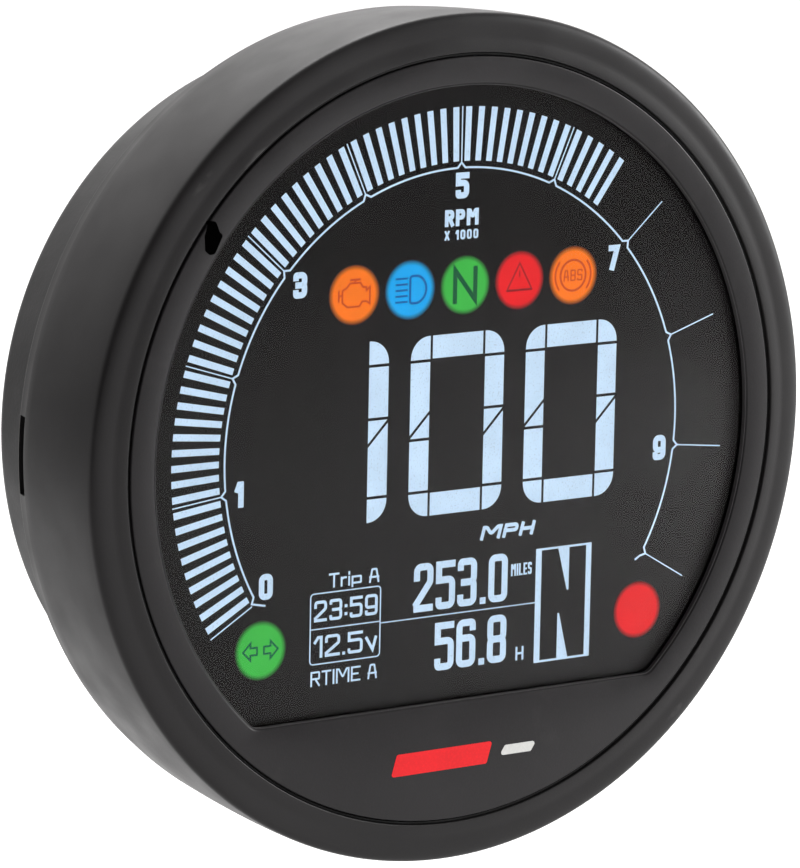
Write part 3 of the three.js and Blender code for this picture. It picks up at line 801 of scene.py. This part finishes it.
def make_readouts():
    skin = bmesh.new()

    def line(x0, z0, x1, z1, weight=0.15):
        stroke(skin, [(dial(x0), dial(z0)), (dial(x1), dial(z1))], weight)

    def label(text, x0, x1, z0, z1, weight, **options):
        write(skin, text, dial(x0), dial(x1), dial(z0), dial(z1), weight, **options)

    frame_corners = [(-0.4413, -0.3497), (-0.228, -0.3497), (-0.228, -0.533), (-0.4413, -0.533)]
    stroke(skin, rounded([(dial(x), dial(z)) for x, z in frame_corners], dial(0.01)), 0.16, closed=True)
    line(-0.4413, -0.442, -0.228, -0.442)
    line(-0.228, -0.447, 0.2587, -0.447)
    label("Trip A", -0.3867, -0.233, -0.3387, -0.3013, 0.26, gap=0.26, radius=0.1)
    label("RTIME A", -0.438, -0.235, -0.59, -0.5513, 0.24, gap=0.28, radius=0.1)
    label("23:59", -0.43, -0.2367, -0.4233, -0.3687, 0.40, radius=0.35, gap=0.42)
    label("12.5v", -0.43, -0.2367, -0.5167, -0.46, 0.40, radius=0.35, gap=0.42)
    label("MILES", 0.18, 0.2453, -0.3687, -0.3367, 0.24, gap=0.14, radius=0.1)
    label("H", 0.2, 0.2253, -0.5947, -0.5587, 0.3)
    label("MPH", 0.078, 0.2453, -0.264, -0.2267, 0.5, gap=0.4, radius=0.3, slant=0.28)
    for text, x, top in (
        ("2", -0.1253, -0.3053), ("5", -0.0567, -0.3053), ("3", 0.0113, -0.3053), ("0", 0.1087, -0.3053),
        ("5", -0.0567, -0.4667), ("6", 0.0113, -0.4667), ("8", 0.1087, -0.4667),
    ):
        label(text, x, x + 0.06, top - 0.1267, top, 0.95, radius=0.62)
    for top in (-0.3053, -0.4667):
        label(".", 0.0827, 0.1, top - 0.1267, top, 0.9)
    ink("segments_readouts", skin)


def make_gear_window():
    """The tall window for the gear, with two wedges that stand for neutral."""
    skin = bmesh.new()
    left, right, top, bottom = dial(0.2587), dial(0.4367), dial(-0.3047), dial(-0.6087)
    left_bar, right_bar, rail = 0.93, 0.86, 0.28
    block(skin, left, bottom, left + left_bar, top)
    block(skin, right - right_bar, bottom, right, top)
    for z in (bottom, top - rail):
        block(skin, left + left_bar, z, right - right_bar, z + rail)
    for wedge in (
        [(0.33, -0.31), (0.3653, -0.31), (0.3653, -0.4233), (0.36, -0.4233)],
        [(0.332, -0.4833), (0.3367, -0.4833), (0.3667, -0.6033), (0.332, -0.6033)],
    ):
        prism(skin, [(dial(x), dial(z)) for x, z in wedge])
    ink("segments_gear", skin)


# ---- warning lamps ----


def icon_engine(draw):
    body = [
        (-1.5, -0.75), (-1.5, 0.55), (-1.0, 0.75), (-0.55, 1.25), (0.75, 1.25), (1.05, 0.75), (1.5, 0.75),
        (1.5, 0.35), (1.95, 0.75), (1.95, -1.05), (1.5, -0.75), (1.0, -0.75), (0.65, -1.25), (-0.85, -1.25),
    ]
    draw(body, 0.2, True)
    for line, weight in (
        ([(-1.95, 0.5), (-1.95, -0.55)], 0.2),
        ([(-1.95, 0.0), (-1.5, 0.0)], 0.2),
        ([(-0.45, 1.6), (0.65, 1.6)], 0.24),
        ([(0.1, 1.6), (0.1, 1.25)], 0.24),
    ):
        draw(line, weight)


def icon_high_beam(draw):
    lamp = [(0.0, -1.45), (0.0, 1.45), *arc((0.55, 0), 1.5, 75, -75, 10)]
    draw(rounded(lamp, 0.3), 0.27, True)
    for k in range(5):
        z = 1.25 - k * 0.62
        draw([(-1.75, z), (-0.42, z)], 0.22)


def icon_neutral(draw):
    draw([(-1.35, -1.75), (-1.35, 1.7), (1.35, -1.7), (1.35, 1.75)], 0.58)


def icon_warning(draw):
    draw([(-1.55, -1.0), (0, 1.75), (1.55, -1.0)], 0.13, True)
    draw([(-1.5, -1.02), (1.5, -1.02)], 0.22)
    draw([(0, 0.9), (0, 0.35)], 0.12)


def icon_brake(draw):
    draw(arc((0, 0), 1.6, 0, 348, 29), 0.24, True)
    for middle in (0, 180):
        draw(arc((0, 0), 2.25, middle - 38, middle + 38, 10), 0.22)
    wide, tall = 1.2 * draw.scale, 0.6 * draw.scale
    box = (draw.x - wide, draw.x + wide, draw.z - tall, draw.z + tall)
    write(draw.skin, "ABS", *box, 0.2, 0.24, 0.14, front=draw.front, back=draw.back)


def icon_turn(draw):
    tail, neck, tip, half, wide = 0.4, 1.15, 2.0, 0.36, 0.85
    arrow = [(tail, half), (neck, half), (neck, wide), (tip, 0), (neck, -wide), (neck, -half), (tail, -half)]
    for sign in (-1, 1):
        draw([(sign * x, z) for x, z in arrow], 0.2, True)


class Pen:
    """Draws an icon's lines round a lamp's middle, just in front of the lamp."""

    front, back = INK_FRONT - 0.015, INK_FRONT + 0.01

    def __init__(self, skin, x, z, scale):
        self.skin, self.x, self.z, self.scale = skin, x, z, scale

    def __call__(self, points, weight, closed=False):
        moved = [(self.x + x * self.scale, self.z + z * self.scale) for x, z in points]
        stroke(self.skin, moved, weight * self.scale, self.front, self.back, closed)


# Name, colour, slot, icon, the icon's colour and its scale.
LAMPS = (
    ("engine", ORANGE, "lamp_orange", icon_engine, (0.60, 0.06, 0.008), 1.25),
    ("high_beam", BLUE, "lamp_blue", icon_high_beam, (0.0, 0.10, 0.38), 1.25),
    ("neutral", GREEN, "lamp_green", icon_neutral, (0.0, 0.09, 0.03), 1.2),
    ("warning", RED, "lamp_red", icon_warning, (0.22, 0.003, 0.006), 1.3),
    ("brake", ORANGE, "lamp_orange", icon_brake, (0.62, 0.07, 0.01), 1.3),
    ("turn_signal", GREEN, "lamp_green", icon_turn, (0.0, 0.11, 0.05), 1.35),
    ("alarm", RED, "lamp_red", None, None, 1),
)
LAMP_R = 4.0
LAMP_FADE = (3.25, 3.95)
LAMP_LIFT = {"turn_signal": 0.75, "alarm": -0.5}  # how far a printed disc stands above its lens's middle


def make_lamps():
    """Each lamp's lit disc, printed in front of its lens, with its symbol on top."""
    glow = {slot: lit(slot, colour, 0.1, LAMP_FADE) for _, colour, slot, *_ in LAMPS}
    disc = [(0, INK_FRONT), (LAMP_R, INK_FRONT), (LAMP_R, INK_BACK), (0, INK_BACK)]
    for name, _, slot, icon, icon_colour, scale in LAMPS:
        span = Span(f"lamp_lens_{name}")
        z = span.z + LAMP_LIFT.get(name, 0)
        middle = at(span.x, INK_FRONT, z)
        skin = turned(bmesh.new(), disc, span.x, z, 96)
        bmesh.ops.translate(skin, verts=skin.verts, vec=-middle)
        piece(f"lamp_face_{name}", skin, glow[slot], slot, place=middle + INK_PLACE)
        if icon:
            lines = bmesh.new()
            icon(Pen(lines, span.x, z, scale))
            piece(f"lamp_icon_{name}", lines, lit(f"icon {name}", icon_colour, 0.0), slot, place=INK_PLACE)


# ---- rear case ----


def hole(skin, radius, x, z, front, back, lead=0.35, sides=64):
    """A round cutter that opens out by lead where it comes out at the back."""
    wide, clear = radius + lead, back + 2
    outline = [(0, front), (radius, front), (radius, back - lead), (wide, back), (wide, clear), (0, clear)]
    turned(skin, outline, x, z, sides)


def make_case():
    """The stepped rear case: shell, mounting pad, holes for what sits in it and a blank label field."""
    inner_r = CASE_R - CASE_WALL
    wall, step = CASE_BACK - CASE_WALL, FLANGE_BACK - CASE_WALL
    groove_r, groove_end, groove, slope = 45.2, 43.2, CASE_BACK - 0.45, 0.4
    outline = rounded(
        [
            (0, wall), (inner_r, wall, 2.6), (inner_r, step, 0.5), (FLANGE_BORE_R, step, 0.8),
            (FLANGE_BORE_R, CASE.front, 0.2), (CASE.right, CASE.front, 0.5), (CASE.right, FLANGE_BACK, 1.1),
            (CASE_R, FLANGE_BACK, 0.8), (CASE_R - 0.25, CASE_BACK, 3.8), (groove_r, CASE_BACK, 0.25),
            (groove_r - slope, groove, 0.25), (groove_end + slope, groove, 0.25),
            (groove_end, CASE_BACK, 0.25), (0, CASE_BACK),
        ],
        closed=False,
        steps=7,
    )
    case = piece("case_shell", turned(bmesh.new(), outline), CASE_BLACK, "case_plastic", "rear_case")
    carve(case, soft_slab(bmesh.new(), box_outline(*PAD_SIZE, 5), wall + 1, CASE.back, 0, 0.6, 6), "UNION")

    cuts = bmesh.new()
    well_r, well_floor, thread_r = 3.4, 34.2, 1.7
    for index in range(1, 5):
        screw = Span(f"case_screw_{index}")
        hole(cuts, well_r, screw.x, screw.z, well_floor, CASE_BACK)
        hole(cuts, thread_r, screw.x, screw.z, CASE_INSIDE, well_floor + 0.3, 0.05, 32)
    insert_r, button_r, vent_r = 3.6, BUTTON_R + 0.3, 2.3
    for side in ("left", "right"):
        insert, button = Span(f"mount_insert_{side}"), Span(f"button_{side}")
        hole(cuts, insert_r, insert.x, insert.z, CASE_INSIDE - 0.1, CASE.back, 0.1)
        hole(cuts, button_r, button.x, button.z, CASE_INSIDE, CASE_BACK, 0.1)
    hole(cuts, vent_r, VENT.x, VENT.z, CASE_INSIDE, CASE_BACK, 0.1, 48)
    soft_slab(cuts, box_outline(24, 9, 1, SOCKET.x, SOCKET.z), CASE_INSIDE, CASE_BACK + 2)
    carve(case, cuts)

    label = box_outline(20, 8, 1.2, 0, 34.2)
    carve(case, soft_slab(bmesh.new(), label, CASE_BACK - 0.35, CASE_BACK + 1, 0.2))
    shade(case, 30)


def make_case_seal():
    ring = arc((52.6, 3.6), 0.85, 0, 345, 23)
    piece("seal_ring", turned(bmesh.new(), ring), RUBBER, "rubber", "case_seal")


# ---- screws and inserts ----


def make_screw(name, node_name, head, head_r, shank_r):
    """A socket head screw: knurled head with a hexagon recess, and a threaded shank reaching forward."""
    span = Span(node_name)
    seat, tip = span.back - head, span.front
    pitch, root, taper, runout = shank_r * 0.42, shank_r * 0.82, 0.8, 0.6
    profile = [(0, tip), (shank_r * 0.55, tip), (shank_r * 0.9, tip + taper)]
    depth = tip + taper
    while depth + pitch < seat - runout:
        profile += [(shank_r, depth + pitch * 0.5), (root, depth + pitch)]
        depth += pitch
    profile += [(shank_r, seat - 0.3), (shank_r, seat), (head_r - 0.1, seat)]
    first = len(profile)
    profile += [(head_r, seat + 0.1), (head_r, span.back - 0.5)]
    last = len(profile) - 1
    lead = 0.18
    profile += [(head_r - 0.12, span.back - lead), (head_r - 0.4, span.back), (0, span.back)]
    knurl, teeth = 0.05 * head_r / 3, 24

    def ripple(a, index):
        return knurl * cos(teeth * a) if first <= index <= last else 0

    skin = turned(bmesh.new(), profile, span.x, span.z, 96, ripple)
    made = piece(name, skin, STEEL, "screw_steel", node_name)
    key = head_r * 0.5
    floor, mouth, clear = seat + head * 0.45, key + lead, span.back + 1
    recess = [
        (0, floor - 0.2), (key, floor), (key, span.back - lead), (mouth, span.back + 0.01), (mouth, clear),
        (0, clear),
    ]
    carve(made, turned(bmesh.new(), recess, span.x, span.z, 6))
    shade(made, 28)


def make_insert(side):
    """A brass insert with a bevelled rim and a real thread in its bore."""
    span = Span(f"mount_insert_{side}")
    outer, core, pitch, thread = 3.5, 2.1, 0.8, 0.32
    rows, sides = 96, 72
    loops = []

    def loop(depth, radius_at):
        points = []
        for i in range(sides):
            a = math.tau * i / sides
            points.append((span.x + radius_at(a) * cos(a), span.z + radius_at(a) * sin(a)))
        loops.append(level(points, depth))

    for depth, radius in (
        (span.front, outer - 0.25), (span.front + 0.25, outer), (span.back - 0.2, outer),
        (span.back, outer - 0.2), (span.back, core + 0.75),
    ):
        loop(depth, lambda a: radius)
    start, end = span.back - 0.4, span.front + 0.1
    for row in range(rows + 1):
        depth = start - (start - end) * row / rows
        loop(depth, lambda a: core + thread * abs(2 * ((depth / pitch + a / math.tau) % 1) - 1))
    loop(span.front, lambda a: core + 0.3)
    skin = loft(bmesh.new(), loops, wrap=True)
    piece(f"insert_{side}", skin, BRASS, "brass", f"mount_insert_{side}", crease=50)


# ---- vent, socket and contacts ----


def make_vent():
    """The vent plug, with six small holes and a notched rim."""
    stem, rim, ring, dish = 2.1, 4.6, 2.9, VENT.back - 0.45
    shell = rounded(
        [
            (0, VENT.front), (stem, VENT.front, 0.2), (stem, CASE_BACK + 0.05), (rim, CASE_BACK + 0.05, 0.1),
            (rim, VENT.back - 0.1, 0.45), (ring, VENT.back, 0.15), (ring - 0.3, dish, 0.15), (0, dish),
        ],
        closed=False,
    )
    skin = turned(bmesh.new(), shell, VENT.x, VENT.z, 96)
    made = piece("vent_cap", skin, VENT_GREY, "vent_plastic", "vent_plug")
    cuts = bmesh.new()
    pores, notches = (1.5, 0.35, VENT.back - 1, VENT.back + 1, 16), (rim, 0.5, 37, 40, 24)
    for k in range(6):
        a = math.tau * k / 6
        for out, radius, front, back, sides in (pores, notches):
            drill = [(0, front), (radius, front), (radius, back), (0, back)]
            turned(cuts, drill, VENT.x + out * cos(a), VENT.z + out * sin(a), sides)
    carve(made, cuts)
    shade(made)


def make_socket():
    """The socket: flange, hollow shell with keying ribs, latch and screw holes, and the seal under it."""

    def slab(width, height, radius, front, back, *edges, skin=None, x=0, z=0):
        outline_at = box_outline(width, height, radius, SOCKET.x + x, SOCKET.z + z)
        return soft_slab(skin or bmesh.new(), outline_at, front, back, *edges)

    floor, seal_back = 39.6, SEAL.back
    width, height = SOCKET.right - SOCKET.left, SOCKET.top - SOCKET.bottom
    flange = slab(width, height, 3, seal_back + 0.05, floor, 0.15, 0.4)
    made = piece("socket", flange, SOCKET_BLACK, "socket_plastic", "connector_socket")
    carve(made, slab(30, height, 2.5, seal_back + 0.5, SOCKET.back, 0, 0.35), "UNION")
    carve(made, slab(26.6, 10.6, 1.2, floor, SOCKET.back + 1, 0.3))
    inside = 36
    cuts = slab(22, 7, 0.4, inside, 42)
    for side in ("left", "right"):
        screw = Span(f"connector_screw_{side}")
        hole(cuts, 1.35, screw.x, screw.z, inside, floor, 0.2, 32)
    carve(made, cuts)
    ribs = bmesh.new()
    for x, z, wide in ((-8, 5.0, 1.2), (9, 5.0, 1.8), (0, -5.0, 1.2)):
        slab(wide, 0.8, 0.25, floor - 0.2, SOCKET.back - 1.2, 0, 0.2, skin=ribs, x=x, z=z)
    carve(made, ribs, "UNION")
    latch, top, half = [(0, 45.6), (1.1, 45.8), (1.1, 46.3), (0, 48.0)], SOCKET.top - 0.1, 3.2
    ends = [[at(x, depth, top + rise) for rise, depth in latch] for x in (-half, half)]
    carve(made, loft(bmesh.new(), ends), "UNION")
    shade(made, 30)

    rim, opening = box_outline(32, 13.6, 2.5, SEAL.x, SEAL.z), box_outline(25, 9.8, 1, SEAL.x, SEAL.z)
    sheet = soft_slab(bmesh.new(), rim, SEAL.front, SEAL.back, 0.1, 0.1)
    ring = piece("socket_seal", sheet, RUBBER, "rubber", "connector_seal")
    carve(ring, soft_slab(bmesh.new(), opening, CASE_INSIDE, SOCKET.back))
    shade(ring, 30)


def make_contacts():
    """The contact carrier and its two rows of six tinned pins."""
    carrier = soft_slab(bmesh.new(), box_outline(21.6, 6.6, 0.5, CONTACTS.x, CONTACTS.z), 33.5, 39, 0.2, 0.2)
    piece("contact_carrier", carrier, SOCKET_BLACK, "socket_plastic")
    pins = bmesh.new()
    half, tip, pitch, row = 0.4, 0.9, 3.4, 1.8
    front, back = CONTACTS.front, CONTACTS.back
    layers = [(half, front), (half, back - tip), (half * 0.4, back - 0.05), (half * 0.2, back)]
    for column in range(6):
        for sign in (-1, 1):
            x, z = CONTACTS.x + (column - 2.5) * pitch, CONTACTS.z + sign * row
            loops = []
            for size, depth in layers:
                corners = [(x + size * i, z + size * j) for i, j in ((1, 1), (-1, 1), (-1, -1), (1, -1))]
                loops.append(level(rounded(corners, size * 0.25, steps=2), depth))
            loft(pins, loops)
    piece("contact_pins", pins, TIN, "tin", "contact_block")


# ---- buttons ----


def make_button(side):
    """A rubber button with a collar behind the case's wall, and the seal ring round it."""
    button, seal = Span(f"button_{side}"), Span(f"button_seal_{side}")
    stem, collar, rim = 1.5, 6.2, 3.4
    shoulder = CASE_BACK - CASE_WALL - 0.3
    under = shoulder - 0.8
    outline = rounded(
        [
            (0, button.front), (stem, button.front, 0.3), (stem, under, 0.2), (collar, under, 0.2),
            (collar, shoulder, 0.2), (BUTTON_R, shoulder, 0.1), (BUTTON_R, button.back, 0.8),
            (rim, button.back, 0.2), (rim - 0.3, button.back - 0.35, 0.2), (0, button.back - 0.5),
        ],
        closed=False,
    )
    skin = turned(bmesh.new(), outline, button.x, button.z, 96)
    node_name, body = f"button_{side}", f"{side}_button"
    piece(f"button_cap_{side}", skin, BUTTON_RUBBER, "button_rubber", node_name, body=body)
    inner, outer = BUTTON_R + 0.3, BUTTON_R + 2.4
    front, back = seal.front, seal.back
    ring = [(inner, front, 0.1), (outer, front, 0.1), (outer - 0.3, back, 0.4), (inner + 0.2, back, 0.3)]
    skin = turned(bmesh.new(), rounded(ring), seal.x, seal.z, 96)
    piece(f"button_ring_{side}", skin, RUBBER, "rubber", f"button_seal_{side}")


# ---- CAD pieces that keep their own shape ----


def dress_frame():
    """Inner pieces stay as the CAD made them, with their own materials."""
    looks = {
        "display_frame": CASE_BLACK,
        "diffuser": WHITE_PLASTIC,
        "reflector_housing": WHITE_PLASTIC,
        "contact_strip": SILICONE,
        "main_board": BOARD_GREEN,
        "light_sensor": CHIP_BLACK,
        "microcontroller": CHIP_BLACK,
        "voltage_regulator": CHIP_BLACK,
        "power_capacitor": CHIP_BLACK,
    }
    for side in ("left", "right"):
        looks[f"tact_switch_{side}"] = CHIP_BLACK
        looks[f"switch_plunger_{side}"] = SILICONE
    for index in range(1, 5):
        looks[f"backlight_led_{index}"] = LED_WHITE
    for name, colour, *_ in LAMPS:
        looks[f"lamp_led_{name}"] = LED_WHITE
        looks[f"lamp_lens_{name}"] = surface(f"lens {name}", tint(colour, 0.8), 0.2, wear=0)
    for name, material in looks.items():
        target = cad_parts[name]
        target.data.materials.clear()
        target.data.materials.append(material)


# ---- stage ----


def make_camera():
    """The camera looks from the left and a little above, a long way off through a long lens."""
    azimuth, elevation, roll = radians(34.514), radians(10.748), radians(1.1175)
    distance, right_shift, up_shift = 13.655, 0.1594, -0.0218  # in seam radii
    back = Vector((-sin(azimuth) * cos(elevation), -cos(azimuth) * cos(elevation), sin(elevation)))
    level = Vector((cos(azimuth), -sin(azimuth), 0))
    upright = back.cross(level)
    right = level * cos(roll) + upright * sin(roll)
    up = upright * cos(roll) - level * sin(roll)
    data = bpy.data.cameras.new("camera")
    data.lens = 221.8
    data.clip_start, data.clip_end = 0.05, 50
    camera = placed("camera", data)
    place = (right * -right_shift - up * up_shift + back * distance) * SEAM_R * MM
    turn = Matrix((right, up, back)).transposed().to_4x4()
    camera.matrix_world = Matrix.Translation(at(0, 0, 0) + place) @ turn
    SCENE.camera = camera


def make_floor():
    drop, half, cells = 0.07, 4.0, 8
    skin = bmesh.new()
    place = Matrix.Translation((0, 0, CAD_BOX[0].z - drop))
    bmesh.ops.create_grid(skin, x_segments=cells, y_segments=cells, size=half, matrix=place)
    floor = placed("floor", mesh_of("floor", skin))
    material, principled = shader("pale floor", Roughness=0.9, Specular_IOR_Level=0.1)
    tone = mix(material, noise(material, 3.0), (0.86, 0.86, 0.86), (0.90, 0.90, 0.90))
    join(material, tone, principled.inputs["Base Color"])
    floor.data.materials.append(material)


def make_sky():
    """Soft studio light: bright above and behind on the right, dim in front and on the left."""
    world = bpy.data.worlds.new("studio")
    world.use_nodes = True
    SCENE.world = world
    background = world.node_tree.nodes["Background"]
    background.inputs["Color"].default_value = (1.0, 0.985, 0.98, 1)
    place = node(world, "ShaderNodeTexCoord")
    split = node(world, "ShaderNodeSeparateXYZ")
    join(world, place.outputs["Generated"], split.inputs[0])
    strength = None
    for axis, start, end, low, high in (
        ("X", -0.7, 0.4, 0.45, 1.0),
        ("Y", -0.5, 0.4, 0.15, 1.0),
        ("Z", 0, 0.5, 0.9, 2.3),
    ):
        factor = ramp(world, split.outputs[axis], low, high, start, end)
        if strength:
            product = node(world, "ShaderNodeMath", operation="MULTIPLY")
            join(world, strength, product.inputs[0])
            join(world, factor, product.inputs[1])
            factor = product.outputs[0]
        strength = factor
    join(world, strength, background.inputs["Strength"])


def facing(azimuth, elevation):
    """The direction out from the piece at an azimuth and elevation in degrees, where azimuth 90 is +X."""
    a, e = radians(azimuth), radians(elevation)
    return Vector((sin(a) * cos(e), -cos(a) * cos(e), sin(e)))


def make_lights():
    for name, azimuth, elevation, distance, size, power in (
        ("key", 150, 55, 1.6, 1.2, 15.0),
        ("right", 66, 14, 0.9, 0.4, 8.0),
    ):
        data = bpy.data.lights.new(name, "AREA")
        data.shape, data.size, data.energy = "DISK", size, power
        lamp = placed(name, data)
        away = facing(azimuth, elevation)
        lamp.location = away * distance
        lamp.rotation_mode = "QUATERNION"
        lamp.rotation_quaternion = away.to_track_quat("Z", "Y")


def make_flags():
    """Dark cards that only reflections see. They darken the bezel's edge and calm its skirt."""
    material, _ = shader("flag", Base_Color=(0.01, 0.01, 0.01, 1), Roughness=0.9, Specular_IOR_Level=0.0)
    for name, azimuth, elevation, distance, half in (
        ("flag_front", -58, -4, 0.5, 0.22),
        ("flag_rear", -146, -11, 0.5, 0.11),
        ("flag_under", 152, -26, 0.35, 0.09),
    ):
        away = facing(azimuth, elevation)
        across = Vector((away.y, -away.x, 0)).normalized()
        up = away.cross(across)
        corners = [
            away * distance + (across * i + up * j) * half for i, j in ((-1, -1), (1, -1), (1, 1), (-1, 1))
        ]
        skin = bmesh.new()
        skin.faces.new([skin.verts.new(corner) for corner in corners])
        flag = placed(name, mesh_of(name, skin))
        flag.data.materials.append(material)
        flag.visible_camera = flag.visible_diffuse = flag.visible_shadow = False


# ---- build ----

make_camera()
make_floor()
make_sky()
make_lights()
make_flags()
make_bezel()
make_gasket()
make_plate()
make_sensor_window()
make_mark()
make_lens()
make_glass()
make_speed()
make_tachometer()
make_readouts()
make_gear_window()
make_lamps()
make_case()
make_case_seal()
for number in range(1, 5):
    make_screw(f"screw_case_{number}", f"case_screw_{number}", 2.2, 2.9, 1.45)
for number in range(1, 4):
    make_screw(f"screw_board_{number}", f"board_screw_{number}", 1.6, 2.4, 1.1)
for hand in ("left", "right"):
    make_screw(f"screw_socket_{hand}", f"connector_screw_{hand}", 1.5, 2.2, 1.05)
    make_insert(hand)
    make_button(hand)
make_vent()
make_socket()
make_contacts()
dress_frame()
SCENE.view_settings.view_transform = "Standard"
